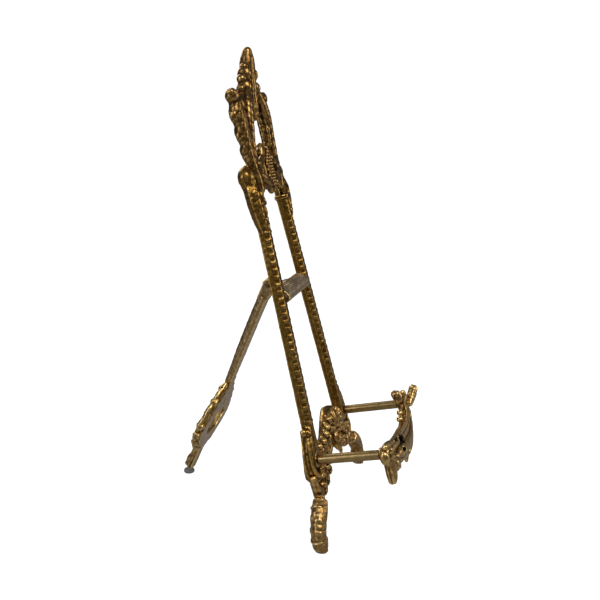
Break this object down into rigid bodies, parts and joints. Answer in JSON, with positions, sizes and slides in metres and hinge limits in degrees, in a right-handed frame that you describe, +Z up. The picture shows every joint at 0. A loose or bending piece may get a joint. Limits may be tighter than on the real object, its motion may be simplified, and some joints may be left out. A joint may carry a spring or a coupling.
{
  "type": "photo album stand",
  "caption": "Ornate antique brass folding easel: a leaning frame with two rods and a rail that hold an open or closed photo album, and a hinged rear leg.",
  "frame": {"origin": "on the surface the stand rests on, below the middle of its bounding box", "axes": "+Z up; -Y towards the front, where the album is seen; +X across the stand, towards the end of the front rail that turns up"},
  "size_m": [0.1454, 0.1837, 0.3362],
  "materials": {
    "cast_brass": "cast, dark patina with rubbed highlights",
    "grey_brass": "cast, greyed patina",
    "rod_brass": "drawn, satin olive patina",
    "rubbed_brass": "rubbed",
    "dark_brass": "dark patina",
    "grey_felt": "pressed felt"
  },
  "bodies": {
    "frame": {"crest": "cast_brass", "crossbar": "grey_brass", "base": "cast_brass", "front_rail": "cast_brass", "upright_left": "cast_brass", "upright_right": "cast_brass", "foot_left": "cast_brass", "foot_right": "cast_brass", "foot_pin_left": "dark_brass", "foot_pin_right": "dark_brass", "rod_left": "rod_brass", "rod_right": "rod_brass", "rail_screw_left": "rubbed_brass", "rail_screw_right": "rubbed_brass", "crest_screw_left": "dark_brass", "crest_screw_right": "dark_brass"},
    "rear_leg": {"rear_leg": "grey_brass", "rear_pad": "grey_felt", "hinge_pin": "dark_brass"}
  },
  "joints": [
    {"name": "rear_leg_hinge", "type": "hinge", "parent": "frame", "child": "rear_leg", "pos_m": [0, 0.01837, 0.16892], "axis": [-1, 0, 0], "range_deg": [0, 38]}
  ]
}
